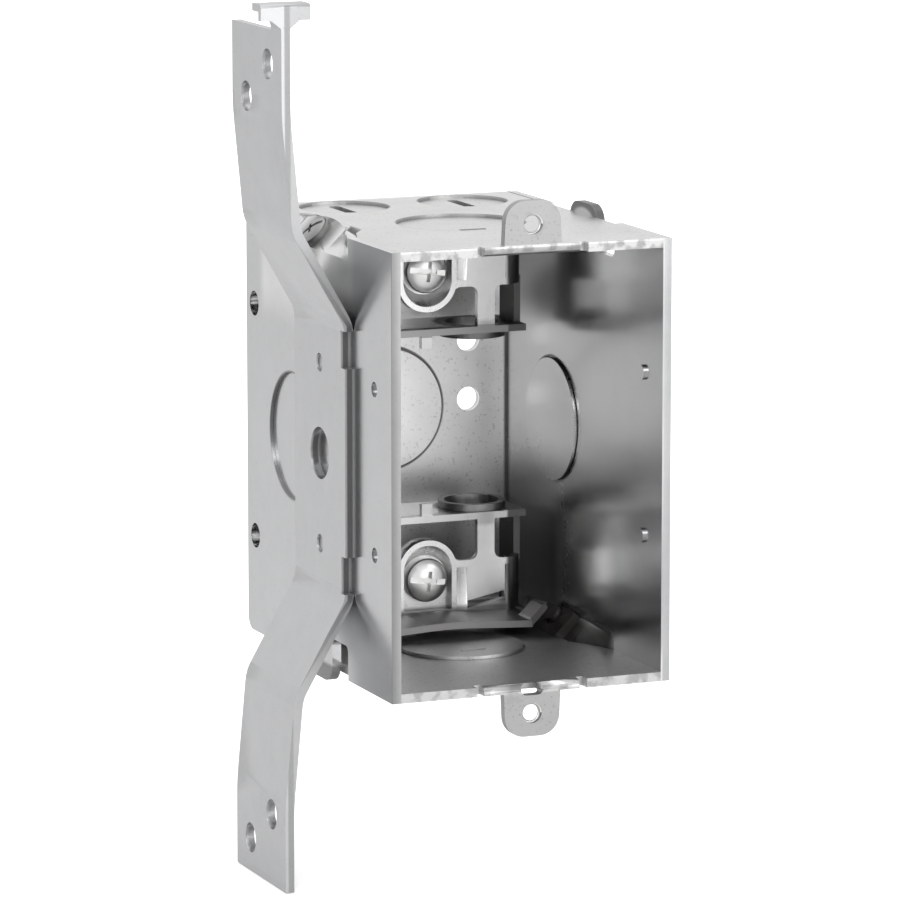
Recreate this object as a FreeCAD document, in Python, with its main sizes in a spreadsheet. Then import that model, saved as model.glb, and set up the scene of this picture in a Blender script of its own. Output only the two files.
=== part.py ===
# Gangable steel switch box, 3 x 2 x 2 3/4 inch, with a bowed stud bracket on its left
# side, two armoured-cable clamps inside and device ears above and below the opening.
# Origin: middle of the front opening. X to the right, Y into the wall, Z up, millimetres.

import FreeCAD, Part
import os
import re
import Sketcher

Vector = FreeCAD.Vector

SIZES = {
    # Pressed box
    "box_width": 50.8,
    "box_height": 76.2,
    "box_depth": 69.85,
    "sheet_thick": 1.6,
    "bend_inside": 0.8,
    "rear_hole_across": 16.3,
    "rear_hole_radius": 2.15,
    "rear_hole_upper": 11.6,
    "rear_hole_lower": 0.8,
    # Device ears and the reliefs beside them
    "device_hole_above": 3.57,
    "device_hole_radius": 1.75,
    "ear_width": 10.4,
    "ear_tip_width": 9.7,
    "ear_beyond_hole": 4.0,
    "ear_corner": 3.6,
    "ear_bend_inside": 1.0,
    "relief_across": 9.4,
    "relief_width": 1.3,
    "relief_deep": 1.9,
    "root_hole_long": 4.0,
    "root_hole_high": 2.0,
    # Knockouts, half sheared so that the slug stands proud inside
    "knockout_radius": 11.2,
    "knockout_step": 0.6,
    "shear_line_wide": 0.3,
    "shear_line_deep": 0.4,
    "end_knockout_deep": 32.0,
    "side_knockout_from_rear": 22.85,
    "pry_slot_long": 5.0,
    "pry_slot_wide": 1.4,
    "pry_slot_forward": 5.5,
    "cable_knockout_radius": 8.0,
    "cable_knockout_from_rear": 11.25,
    "cable_slot_long": 11.0,
    "cable_slot_wide": 2.0,
    # Side plates
    "dimple_deep": 8.0,
    "dimple_above": 14.1,
    "dimple_radius": 1.3,
    "dimple_sink": 0.7,
    "dimple_rise": 0.5,
    "nail_hole_from_rear": 3.95,
    "nail_hole_above": 20.8,
    "nail_hole_radius": 2.2,
    "lobe_middle_deep": 40.0,
    "lobe_half_width": 20.0,
    "lobe_flat_half": 9.0,
    "lobe_turn_half": 14.5,
    "lobe_turn_lean": 24.0,
    "lobe_turn_reach": 4.6,
    "lobe_side_reach": 5.3,
    "lobe_reach": 6.5,
    "lobe_bend_below": 3.8,
    "lobe_gap": 0.3,
    "window_half_width": 10.8,
    "seat_half_width": 5.7,
    "seat_reach": 6.2,
    "plate_screw_reach": 2.7,
    "tongue_middle": 34.0,
    "tongue_width": 12.0,
    "tongue_rise": 2.0,
    "notch_front_start": 20.5,
    "notch_rear_end": 51.0,
    "notch_high": 5.9,
    "notch_round": 1.2,
    "tongue_round": 3.5,
    # Stud bracket
    "strap_thick": 1.6,
    "strap_width": 24.0,
    "strap_middle_deep": 29.5,
    "strap_half_length": 73.5,
    "strap_stand_off": 12.7,
    "strap_flat_half": 23.5,
    "strap_knee_half": 39.8,
    "strap_knee_out": 10.9,
    "strap_straight_half": 59.0,
    "strap_bend_radius": 7.0,
    "strap_ease_radius": 60.0,
    "strap_notch_low": 16.2,
    "strap_notch_high": 22.6,
    "strap_notch_deep": 1.9,
    "strap_nail_radius": 2.6,
    "strap_nail_side": 5.2,
    "strap_nail_near": 61.2,
    "strap_nail_far": 67.6,
    "strap_centre_radius": 4.5,
    "weld_above": 15.7,
    "weld_radius": 1.6,
    "weld_sink": 0.5,
    "hook_stem": 5.0,
    "hook_stem_rise": 0.5,
    "hook_twist_high": 1.4,
    "hook_bar": 8.8,
    "hook_bar_high": 2.8,
    "hook_leg": 4.2,
    "hook_thick": 1.3,
    # Armoured-cable clamps, placed from the rear wall and from the end walls
    "clamp_thick": 1.2,
    "clamp_screw_from_end": 10.6,
    "clamp_web_from_rear": 20.85,
    "clamp_far_from_end": 4.0,
    "cable_way_from_rear": 15.55,
    "saddle_across": 11.2,
    "saddle_half": 7.6,
    "saddle_shoulder": 4.0,
    "saddle_forward": 1.5,
    "saddle_long": 9.7,
    "saddle_back": 2.5,
    "cup_half": 5.5,
    "cup_above": 7.2,
    "cup_forward": 1.8,
    "cup_flare": 1.5,
    "dish_half": 4.25,
    "finger_width": 3.25,
    "finger_root": 1.4,
    "hood_rise": 16.9,
    "hood_back": 6.5,
    "hood_corner": 3.0,
    "hood_tab_wide": 2.0,
    "hood_tab_high": 2.2,
    "collar_high": 1.2,
    "collar_radius": 6.0,
    "collar_bore": 4.9,
    "leg_width": 6.6,
    "flange_forward": 12.5,
    "flange_half": 15.6,
    "flange_drop": 0.9,
    "flange_crank": 80.0,
    "wing_half": 17.2,
    "wing_forward": 6.7,
    "curl_run": 3.2,
    "curl_round": 1.6,
    "curl_set_back": 0.5,
    "curl_wide": 5.0,
    "window_long": 7.0,
    "window_high": 1.4,
    "window_slope": 1.4,
    "window_from_far": 2.4,
    # Screws
    "clamp_screw_radius": 2.08,
    "clamp_screw_head": 3.9,
    "clamp_screw_head_high": 2.6,
    "clamp_screw_long": 22.4,
    "plate_screw_radius": 1.75,
    "plate_screw_head": 3.3,
    "plate_screw_head_high": 2.1,
    "plate_screw_long": 4.0,
    "screw_clearance": 0.06,
    "screw_slot_wide": 0.9,
    "screw_slot_deep": 1.1,
    "screw_cross_long": 4.4,
    "screw_head_bevel": 0.9,
    "screw_tip": 0.6,
}

doc = FreeCAD.newDocument("switch_box")
sheet = doc.addObject("Spreadsheet::Sheet", "Sizes")
for row, (alias, size) in enumerate(SIZES.items(), start=1):
    sheet.set(f"A{row}", alias.replace("_", " "))
    sheet.set(f"B{row}", str(size))
    sheet.setAlias(f"B{row}", alias)
doc.recompute()


def formula(text):
    """The expression with every size read from the sheet."""
    return re.sub(r"[a-z_]+", lambda word: f"Sizes.{word[0]}" if word[0] in SIZES else word[0], str(text))


def value(text):
    """What an expression comes to now, as a plain number."""
    result = sheet.evalExpression(formula(text))
    return float(getattr(result, "Value", result))


HALF_WIDTH = "(box_width / 2)"
HALF_HEIGHT = "(box_height / 2)"
BODY_HALF = "(box_width / 2 - sheet_thick)"
BEND_OUTSIDE = "(sheet_thick + bend_inside)"
STRAP_FRONT = "(strap_middle_deep - strap_width / 2)"
DEVICE_HOLE = "(box_height / 2 + device_hole_above)"
CABLE_KNOCKOUT_DEEP = "(box_depth - cable_knockout_from_rear)"
CLAMP_SCREW_UP = "(box_height / 2 - clamp_screw_from_end)"
CLAMP_WEB = "(box_depth - clamp_web_from_rear)"

# The screw end of each side plate leans 45 degrees inward from this line, and crosses the
# top of the box there on its underside.
LOBE_X = "(-box_width / 2)"
LOBE_Z = "(box_height / 2 - lobe_bend_below)"
LOBE_CROSSING = "(box_width / 2 - lobe_bend_below - sheet_thick * sqrt(2))"
LOBE_TURN_IN = "(lobe_turn_reach * sin(lobe_turn_lean) + sheet_thick * cos(lobe_turn_lean))"


# Sketch helpers: every coordinate is an expression, held by a constraint bound to it

def new_body(name):
    body = doc.addObject("PartDesign::Body", name)
    body.Label = name
    return body


def new_sketch(body, plane, start, name):
    """A sketch parallel to one of the body's own planes, at the coordinate start along its axis."""
    sketch = body.newObject("Sketcher::SketchObject", name)
    origin_plane = next(f for f in body.Origin.OriginFeatures if f.Role == f"{plane}_Plane")
    sketch.AttachmentSupport = [(origin_plane, "")]
    sketch.MapMode = "FlatFace"
    sign = "-" if plane == "XZ" else ""
    sketch.setExpression("AttachmentOffset.Base.z", formula(f"{sign}({start})"))
    return sketch


def hold(sketch, kind, *where):
    """Adds one dimension whose last argument is an expression."""
    *place, text = where
    index = sketch.addConstraint(Sketcher.Constraint(kind, *place, value(text)))
    sketch.setExpression(f"Constraints[{index}]", formula(text))


def circle(sketch, across, along, radius):
    centre = Vector(value(across), value(along), 0)
    index = sketch.addGeometry(Part.Circle(centre, Vector(0, 0, 1), value(radius)))
    hold(sketch, "DistanceX", -1, 1, index, 3, across)
    hold(sketch, "DistanceY", -1, 1, index, 3, along)
    hold(sketch, "Radius", index, radius)


def outline(sketch, corners, closed=True):
    """Straight lines through corners given as (x, y), or (x, y, radius) for a rounded one."""
    spots = [Vector(value(x), value(y), 0) for x, y, *_ in corners]
    first = sketch.GeometryCount
    count = len(spots)
    line_count = count if closed else count - 1
    for i in range(line_count):
        sketch.addGeometry(Part.LineSegment(spots[i], spots[(i + 1) % count]))
    for i in range(line_count if closed else line_count - 1):
        sketch.addConstraint(Sketcher.Constraint("Coincident", first + i, 2, first + (i + 1) % count, 1))
    for i, (x, y, *_) in enumerate(corners):
        line, end = (first + i, 1) if i < line_count else (first + i - 1, 2)
        hold(sketch, "DistanceX", -1, 1, line, end, x)
        hold(sketch, "DistanceY", -1, 1, line, end, y)
    for i, (_, _, *radius) in enumerate(corners):
        if radius:
            sketch.fillet(first + i, 1, value(radius[0]), True, True)
            hold(sketch, "Radius", sketch.GeometryCount - 2, radius[0])


def rectangle(sketch, left, right, low, high):
    outline(sketch, [(left, low), (right, low), (right, high), (left, high)])


def oblong(sketch, across, along, width, height):
    """A slot with round ends, the longer way first in whichever direction it lies."""
    radius = f"(min({width}; {height}) / 2 * 0.98)"
    left, right = f"{across} - ({width}) / 2", f"{across} + ({width}) / 2"
    low, high = f"{along} - ({height}) / 2", f"{along} + ({height}) / 2"
    outline(sketch, [(x, y, radius) for x, y in ((left, low), (right, low), (right, high), (left, high))])


def checked(feature):
    """Recomputes, and stops at a feature that came out broken."""
    doc.recompute()
    if "Invalid" in feature.State or "Error" in feature.State or feature.Shape.isNull():
        raise RuntimeError(f"{feature.Name} failed")
    return feature


def pad(body, plane, start, length, draw, name):
    """Adds what draw sketches, from start along the plane's own positive axis."""
    sketch = new_sketch(body, plane, start, f"{name}_sketch")
    draw(sketch)
    feature = body.newObject("PartDesign::Pad", name)
    feature.Profile = sketch
    feature.setExpression("Length", formula(length))
    feature.Reversed = plane == "XZ"
    return checked(feature)


def cut(body, plane, start, length, draw, name):
    """Takes away what draw sketches, from start along the plane's own positive axis."""
    before = body.Shape.Volume
    sketch = new_sketch(body, plane, start, f"{name}_sketch")
    draw(sketch)
    feature = body.newObject("PartDesign::Pocket", name)
    feature.Profile = sketch
    feature.setExpression("Length", formula(length))
    feature.Reversed = plane != "XZ"
    checked(feature)
    if not body.Shape.Volume < before:
        raise RuntimeError(f"{name} cuts nothing from {body.Label}")
    return feature


def leaning_sketch(body, side, start, name):
    """A sketch parallel to the leaning lobe, start above its outer face; side -1 is lower right.
    Its own x runs up the slope from the bend line, and its y into the wall."""
    sketch = new_sketch(body, "XY", "0", name)
    turn = FreeCAD.Rotation(Vector(0, 1, 0), -45 if side > 0 else 135)
    sketch.AttachmentOffset = FreeCAD.Placement(Vector(), turn)
    sketch.setExpression("AttachmentOffset.Base.x", formula(f"{side} * ({LOBE_X} - ({start}) / sqrt(2))"))
    sketch.setExpression("AttachmentOffset.Base.z", formula(f"{side} * ({LOBE_Z} + ({start}) / sqrt(2))"))
    return sketch


def leaning_hole(body, side, start, length, radius, name):
    """Round hole square to the leaning lobe, where the plate's screw goes."""
    before = body.Shape.Volume
    sketch = leaning_sketch(body, side, start, f"{name}_sketch")
    circle(sketch, "plate_screw_reach", "lobe_middle_deep", radius)
    feature = body.newObject("PartDesign::Pocket", name)
    feature.Profile = sketch
    feature.setExpression("Length", formula(length))
    feature.Reversed = True
    checked(feature)
    if not body.Shape.Volume < before:
        raise RuntimeError(f"{name} cuts nothing from {body.Label}")


def round_edges(body, radius, chosen, name):
    """Rounds the edges of the body whose ends and middle the function chosen accepts."""
    base = body.Tip
    picked = [f"Edge{i}" for i, edge in enumerate(base.Shape.Edges, start=1) if chosen(edge)]
    if not picked:
        raise RuntimeError(f"{name} finds no edge on {body.Label}")
    feature = body.newObject("PartDesign::Fillet", name)
    feature.Base = (base, picked)
    feature.setExpression("Radius", formula(radius))
    return checked(feature)


def lies_at(edge, deep, up, half_across):
    """True for a straight edge along X at the depth and height given, within half_across."""
    box = edge.BoundBox
    near = 0.01
    level = box.YLength < near and box.ZLength < near and box.XLength > near
    placed = abs(box.YMin - value(deep)) < near and abs(box.ZMin - value(up)) < near
    return level and placed and max(abs(box.XMin), abs(box.XMax)) < value(half_across) + near


def knockout(body, plane, across, along, radius, inner_face, outward, name):
    """Half-sheared slug: pressed in by one step, so it stands proud inside and sunk outside,
    with a thin sheared line round it on the inside."""
    step, line = "knockout_step", "shear_line_deep"
    if outward > 0:
        rises, sinks, parts = (f"{inner_face} - {step}", f"{inner_face} + sheet_thick - {step}", inner_face)
    else:
        rises, sinks, parts = (inner_face, f"{inner_face} - sheet_thick", f"{inner_face} - {line}")
    slug = f"{radius} - shear_line_wide"

    def sheared_line(sketch):
        circle(sketch, across, along, radius)
        circle(sketch, across, along, slug)

    pad(body, plane, rises, step, lambda s: circle(s, across, along, slug), f"{name}_slug")
    cut(body, plane, sinks, step, lambda s: circle(s, across, along, radius), f"{name}_sink")
    cut(body, plane, parts, line, sheared_line, f"{name}_line")


# Pressed body: top, back and bottom in one bent strip, with the two device ears

def box_body():
    body = new_body("box_body")

    def strip(sketch):
        outside = "sheet_thick + bend_inside"
        inner_top = f"{HALF_HEIGHT} - sheet_thick"
        inner_rear = "box_depth - sheet_thick"
        outline(sketch, [
            ("0", HALF_HEIGHT), ("box_depth", HALF_HEIGHT, outside),
            ("box_depth", f"-{HALF_HEIGHT}", outside), ("0", f"-{HALF_HEIGHT}"),
            ("0", f"-({inner_top})"), (inner_rear, f"-({inner_top})", "bend_inside"),
            (inner_rear, inner_top, "bend_inside"), ("0", inner_top)])

    pad(body, "YZ", f"-{BODY_HALF}", f"2 * {BODY_HALF}", strip, "bent_strip")
    for side, end in ((1, "top"), (-1, "bottom")):
        device_ear(body, side, end)
        end_wall_openings(body, side, end)
        screw_seat(body, side, end)
    knockout(body, "XZ", "0", "0", "knockout_radius", "box_depth - sheet_thick", 1, "rear_knockout")

    def rear_holes(sketch):
        circle(sketch, "rear_hole_across", "rear_hole_upper", "rear_hole_radius")
        circle(sketch, "rear_hole_across", "rear_hole_lower", "rear_hole_radius")

    cut(body, "XZ", "box_depth - sheet_thick", "sheet_thick", rear_holes, "rear_holes")

    def tapped_holes(sketch):
        for side in (1, -1):
            circle(sketch, "0", f"{side} * {CLAMP_SCREW_UP}", "clamp_screw_radius + screw_clearance")

    cut(body, "XZ", "box_depth - sheet_thick", "sheet_thick", tapped_holes, "clamp_screw_holes")
    return body


def device_ear(body, side, end):
    """Ear bent up from the front edge, between two reliefs, with its tapped device hole."""
    tip = f"{side} * ({DEVICE_HOLE} + ear_beyond_hole)"
    inner = f"{side} * ({HALF_HEIGHT} - sheet_thick)"
    outer = f"{side} * {HALF_HEIGHT}"

    def relief(sketch):
        for hand in (1, -1):
            middle = f"{hand} * relief_across"
            rectangle(sketch, f"{middle} - relief_width / 2", f"{middle} + relief_width / 2",
                      "-relief_deep", "relief_deep")

    low = inner if side > 0 else outer
    cut(body, "XY", low, "sheet_thick", relief, f"{end}_ear_reliefs")

    round_edges(body, "sheet_thick * 0.8", lambda e: lies_at(e, "0", inner, "relief_across"),
                f"{end}_ear_outer_bend")
    root = f"{side} * ({HALF_HEIGHT} - sheet_thick / 8)"

    def blade(sketch):
        outline(sketch, [("-ear_width / 2", root), ("-ear_tip_width / 2", tip, "ear_corner"),
                         ("ear_tip_width / 2", tip, "ear_corner"), ("ear_width / 2", root)])

    pad(body, "XZ", "0", "sheet_thick", blade, f"{end}_ear")
    reach = "2 * ear_bend_inside"

    def inner_bend(sketch):
        outline(sketch, [
            ("sheet_thick / 2", root), (f"sheet_thick + {reach}", root), (f"sheet_thick + {reach}", outer),
            ("sheet_thick", outer, "ear_bend_inside"), ("sheet_thick", f"{outer} + {side} * {reach}"),
            ("sheet_thick / 2", f"{outer} + {side} * {reach}")])

    bend_wide = "(ear_width + ear_tip_width) / 2"
    pad(body, "YZ", f"-{bend_wide} / 2", bend_wide, inner_bend, f"{end}_ear_inner_bend")
    cut(body, "XZ", "-sheet_thick", "3 * sheet_thick",
        lambda s: circle(s, "0", f"{side} * {DEVICE_HOLE}", "device_hole_radius"), f"{end}_device_hole")
    if side < 0:
        cut(body, "XZ", "-sheet_thick", "3 * sheet_thick",
            lambda s: oblong(s, "0", f"-{HALF_HEIGHT} + sheet_thick / 3", "root_hole_long", "root_hole_high"),
            f"{end}_root_hole")


def end_wall_openings(body, side, end):
    """Middle knockout with its pry slot, and the two cable knockouts behind it."""
    inner = f"{side} * ({HALF_HEIGHT} - sheet_thick)"
    low = inner if side > 0 else f"-{HALF_HEIGHT}"
    knockout(body, "XY", "0", "end_knockout_deep", "knockout_radius", inner, side, f"{end}_knockout")
    for hand, place in ((-1, "left"), (1, "right")):
        knockout(body, "XY", f"{hand} * saddle_across", CABLE_KNOCKOUT_DEEP, "cable_knockout_radius",
                 inner, side, f"{end}_{place}_cable_knockout")

    def pry_slots(sketch):
        oblong(sketch, "0", "end_knockout_deep - pry_slot_forward", "pry_slot_long", "pry_slot_wide")
        for hand in (-1, 1):
            oblong(sketch, f"{hand} * saddle_across", CABLE_KNOCKOUT_DEEP,
                   "cable_slot_wide", "cable_slot_long")

    cut(body, "XY", f"{low} - knockout_step", "sheet_thick + 2 * knockout_step",
        pry_slots, f"{end}_pry_slots")


def screw_seat(body, side, end):
    """Window in the corner of the strip, shaped to the leaning lobe, and the tapped seat flap
    bent down inside it."""
    hand = -side
    edge = f"{hand} * {BODY_HALF}"
    turn = f"{hand} * ({HALF_WIDTH} - {LOBE_TURN_IN} - lobe_gap)"
    fold = f"{hand} * {LOBE_CROSSING}"
    low = f"{HALF_HEIGHT} - sheet_thick" if side > 0 else f"-{HALF_HEIGHT}"

    def corner(sketch):
        halves = ("lobe_half_width + lobe_gap", "lobe_turn_half", "window_half_width")
        front = list(zip((edge, turn, fold), (f"lobe_middle_deep - ({half})" for half in halves)))
        rear = list(zip((fold, turn, edge), (f"lobe_middle_deep + ({half})" for half in reversed(halves))))
        outline(sketch, front + rear)

    cut(body, "XY", low, "sheet_thick", corner, f"{end}_seat_window")
    top = f"{side} * {HALF_HEIGHT}"
    run = "seat_reach / sqrt(2)"
    skew = "sheet_thick / sqrt(2)"
    joined = f"{fold} - {hand} * 2 * sheet_thick"

    def flap(sketch):
        outline(sketch, [
            (fold, top), (f"{fold} + {hand} * {run}", f"{top} - {side} * {run}"),
            (f"{fold} + {hand} * ({run} - {skew})", f"{top} - {side} * ({run} + {skew})"),
            (f"{fold} - {hand} * sheet_thick * (sqrt(2) - 1)", f"{top} - {side} * sheet_thick"),
            (joined, f"{top} - {side} * sheet_thick"), (joined, top)])

    pad(body, "XZ", "lobe_middle_deep - seat_half_width", "2 * seat_half_width", flap, f"{end}_seat_flap")
    leaning_hole(body, side, "-2.5 * sheet_thick", "2 * sheet_thick",
                 "plate_screw_radius + screw_clearance", f"{end}_seat_hole")


# Gang side: one pressed plate, used twice, the right one turned half round about Y

def side_plate(name, half_turn):
    body = new_body(name)
    tongue_front = "tongue_middle - tongue_width / 2"
    tongue_rear = "tongue_middle + tongue_width / 2"
    notch = f"-{HALF_HEIGHT} + notch_high"
    lobe_front = "lobe_middle_deep - lobe_half_width"
    lobe_rear = "lobe_middle_deep + lobe_half_width"

    def blank(sketch):
        outline(sketch, [
            ("0", f"-{HALF_HEIGHT}"), ("notch_front_start", f"-{HALF_HEIGHT}"),
            ("notch_front_start", notch, "notch_round"), (tongue_front, notch, "notch_round"),
            (tongue_front, f"-{HALF_HEIGHT} - tongue_rise", "tongue_round"),
            (tongue_rear, f"-{HALF_HEIGHT} - tongue_rise", "tongue_round"),
            (tongue_rear, notch, "notch_round"), ("notch_rear_end", notch, "notch_round"),
            ("notch_rear_end", f"-{HALF_HEIGHT}"), ("box_depth", f"-{HALF_HEIGHT}", BEND_OUTSIDE),
            ("box_depth", HALF_HEIGHT, BEND_OUTSIDE), (lobe_rear, HALF_HEIGHT), (lobe_rear, LOBE_Z),
            (lobe_front, LOBE_Z), (lobe_front, HALF_HEIGHT), ("0", HALF_HEIGHT)])

    pad(body, "YZ", LOBE_X, "sheet_thick", blank, f"{name}_blank")
    leaning_lobe(body, name)
    for hand, place in ((-1, "front"), (1, "rear")):
        turned_shoulder(body, hand, f"{name}_{place}_shoulder")
    leaning_hole(body, 1, "-1.5 * sheet_thick", "2 * sheet_thick",
                 "plate_screw_radius + screw_clearance", f"{name}_screw_hole")
    knockout(body, "YZ", "box_depth - side_knockout_from_rear", "0", "knockout_radius",
             f"{LOBE_X} + sheet_thick", -1, f"{name}_knockout")

    def nail_holes(sketch):
        for side in (1, -1):
            circle(sketch, "box_depth - nail_hole_from_rear", f"{side} * nail_hole_above", "nail_hole_radius")

    cut(body, "YZ", f"{LOBE_X} - sheet_thick", "3 * sheet_thick", nail_holes, f"{name}_nail_holes")

    def dimples(sketch):
        for side in (1, -1):
            circle(sketch, "dimple_deep", f"{side} * dimple_above", "dimple_radius")

    pad(body, "YZ", f"{LOBE_X} + sheet_thick", "dimple_rise", dimples, f"{name}_bumps")
    cut(body, "YZ", LOBE_X, "dimple_sink", dimples, f"{name}_dimples")
    if half_turn:
        body.Placement = FreeCAD.Placement(Vector(), FreeCAD.Rotation(Vector(0, 1, 0), 180))
    return body


def leaning_lobe(body, name):
    """Flat middle of the end bent inward over the corner, under one shallow arc."""
    sketch = leaning_sketch(body, 1, "-sheet_thick", f"{name}_lobe_sketch")
    front, rear = "lobe_middle_deep - lobe_flat_half", "lobe_middle_deep + lobe_flat_half"
    side, rise = "lobe_side_reach", "(lobe_reach - lobe_side_reach)"
    outline(sketch, [(side, rear), ("0", rear), ("0", front), (side, front)], closed=False)
    ends = [Vector(value(side), value(deep), 0) for deep in (front, rear)]
    sketch.addGeometry(Part.Arc(ends[0], Vector(value("lobe_reach"), value("lobe_middle_deep"), 0), ends[1]))
    sketch.addConstraint(Sketcher.Constraint("Coincident", 2, 2, 3, 1))
    sketch.addConstraint(Sketcher.Constraint("Coincident", 0, 1, 3, 2))
    hold(sketch, "Radius", 3, f"(lobe_flat_half ^ 2 + {rise} ^ 2) / (2 * {rise})")
    lobe = body.newObject("PartDesign::Pad", f"{name}_lobe")
    lobe.Profile = sketch
    lobe.setExpression("Length", formula("sheet_thick"))
    checked(lobe)


def turned_shoulder(body, hand, name):
    """The plate's edge twisting from the lean of the lobe back to upright, as one loft."""
    sections = []
    for half, lean, reach in (("lobe_flat_half", "45", "lobe_side_reach"),
                              ("lobe_turn_half", "lobe_turn_lean", "lobe_turn_reach"),
                              ("lobe_half_width", "0", "lobe_bend_below")):
        section = new_sketch(body, "XZ", f"lobe_middle_deep + {hand} * {half}", f"{name}_{half}")
        over, up = f"{reach} * sin({lean})", f"{reach} * cos({lean})"
        skin_x, skin_z = f"sheet_thick * cos({lean})", f"sheet_thick * sin({lean})"
        outline(section, [
            (LOBE_X, LOBE_Z), (f"{LOBE_X} + {over}", f"{LOBE_Z} + {up}"),
            (f"{LOBE_X} + {over} + {skin_x}", f"{LOBE_Z} + {up} - {skin_z}"),
            (f"{LOBE_X} + {skin_x}", f"{LOBE_Z} - {skin_z}")])
        sections.append(section)
    shoulder = body.newObject("PartDesign::AdditiveLoft", name)
    shoulder.Profile = sections[0]
    shoulder.Sections = sections[1:]
    checked(shoulder)


# Stud bracket: one strap swept along its bent middle line, with a twisted hook at the top

def stud_bracket():
    body = new_body("stud_bracket")
    flat = f"-({HALF_WIDTH} + strap_thick / 2)"
    knee = f"-({HALF_WIDTH} + strap_knee_out - strap_thick / 2)"
    arm = f"-({HALF_WIDTH} + strap_stand_off - strap_thick / 2)"
    face = f"-({HALF_WIDTH} + strap_stand_off)"

    spine = new_sketch(body, "XZ", "strap_middle_deep", "strap_spine")
    outline(spine, [
        (arm, "-strap_half_length"), (arm, "-strap_straight_half", "strap_ease_radius"),
        (knee, "-strap_knee_half", "strap_bend_radius"), (flat, "-strap_flat_half", "strap_bend_radius"),
        (flat, "strap_flat_half", "strap_bend_radius"), (knee, "strap_knee_half", "strap_bend_radius"),
        (arm, "strap_straight_half", "strap_ease_radius"), (arm, "strap_half_length")], closed=False)
    section = new_sketch(body, "XY", "-strap_half_length", "strap_section")
    rectangle(section, face, f"{face} + strap_thick", STRAP_FRONT, f"{STRAP_FRONT} + strap_width")
    strap = body.newObject("PartDesign::AdditivePipe", "strap")
    strap.Profile = section
    strap.Spine = (spine, [])
    checked(strap)

    def front_notches(sketch):
        for side in (1, -1):
            rectangle(sketch, f"{STRAP_FRONT} - 1", f"{STRAP_FRONT} + strap_notch_deep",
                      f"{side} * strap_notch_low", f"{side} * strap_notch_high")

    outer = f"{LOBE_X} - strap_thick"
    cut(body, "YZ", f"{outer} - strap_thick", "3 * strap_thick", front_notches, "front_notches")
    cut(body, "YZ", outer, "strap_thick",
        lambda s: circle(s, "strap_middle_deep", "0", "strap_centre_radius"), "centre_hole")

    def welds(sketch):
        for side in (1, -1):
            circle(sketch, "strap_middle_deep", f"{side} * weld_above", "weld_radius")

    cut(body, "YZ", outer, "weld_sink", welds, "weld_dimples")

    def nail_holes(sketch):
        for side in (1, -1):
            rear = f"strap_middle_deep + {side} * strap_nail_side"
            front = f"strap_middle_deep - {side} * strap_nail_side"
            circle(sketch, rear, f"{side} * strap_nail_near", "strap_nail_radius")
            circle(sketch, front, f"{side} * strap_nail_far", "strap_nail_radius")

    cut(body, "YZ", f"{face} - strap_thick", "3 * strap_thick", nail_holes, "stud_nail_holes")
    bracket_hook(body, face, arm)
    return body


def bracket_hook(body, face, arm):
    """Stem at the strap's front edge, a quarter twist, and an L-shaped bar across its top."""
    top = "strap_half_length"
    stem_top = f"{top} + hook_stem_rise"
    bar_low = f"{stem_top} + hook_twist_high"
    pad(body, "YZ", face, "strap_thick",
        lambda s: rectangle(s, STRAP_FRONT, f"{STRAP_FRONT} + hook_stem", f"{top} - strap_thick", stem_top),
        "hook_stem_plate")
    lower = new_sketch(body, "XY", stem_top, "hook_twist_lower")
    rectangle(lower, face, f"{face} + strap_thick", STRAP_FRONT, f"{STRAP_FRONT} + hook_stem")
    upper = new_sketch(body, "XY", bar_low, "hook_twist_upper")
    rectangle(upper, f"{arm} - hook_stem / 2", f"{arm} + hook_stem / 2",
              STRAP_FRONT, f"{STRAP_FRONT} + hook_thick")
    twist = body.newObject("PartDesign::AdditiveLoft", "hook_twist")
    twist.Profile = lower
    twist.Sections = [upper]
    twist.Ruled = True
    checked(twist)

    def bar(sketch):
        bar_top = f"{bar_low} + hook_bar_high"
        outline(sketch, [
            (STRAP_FRONT, bar_low), (f"{STRAP_FRONT} + hook_thick", bar_low),
            (f"{STRAP_FRONT} + hook_thick", f"{bar_top} - hook_thick"),
            (f"{STRAP_FRONT} + hook_leg", f"{bar_top} - hook_thick"),
            (f"{STRAP_FRONT} + hook_leg", bar_top), (STRAP_FRONT, bar_top, "hook_thick / 2")])

    pad(body, "YZ", f"{arm} - hook_bar / 2", "hook_bar", bar, "hook_bar_angle")


# Armoured-cable clamp: one pressing with two saddles, a dished seat for the screw head, and
# above the saddles a hood with two bushing collars; side -1 is the lower clamp

CLAMP_FRONT = f"({CLAMP_WEB} - saddle_forward)"
CLAMP_FAR = "(box_height / 2 - clamp_far_from_end)"
WALL_FAR = f"({CLAMP_FAR} - clamp_thick / 4)"
SADDLE_NEAR = f"({CLAMP_FAR} - saddle_long)"
HOOD_FAR = f"({CLAMP_FAR} - hood_rise)"
HOOD_NEAR = f"({HOOD_FAR} - clamp_thick)"
WAY_DEEP = "(box_depth - cable_way_from_rear)"
SADDLE_REAR = f"({WAY_DEEP} + saddle_back)"


def span(side, near, far):
    """Start and length along Z between two distances from the middle of the box."""
    return near if side > 0 else f"-({far})", f"({far}) - ({near})"


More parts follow.
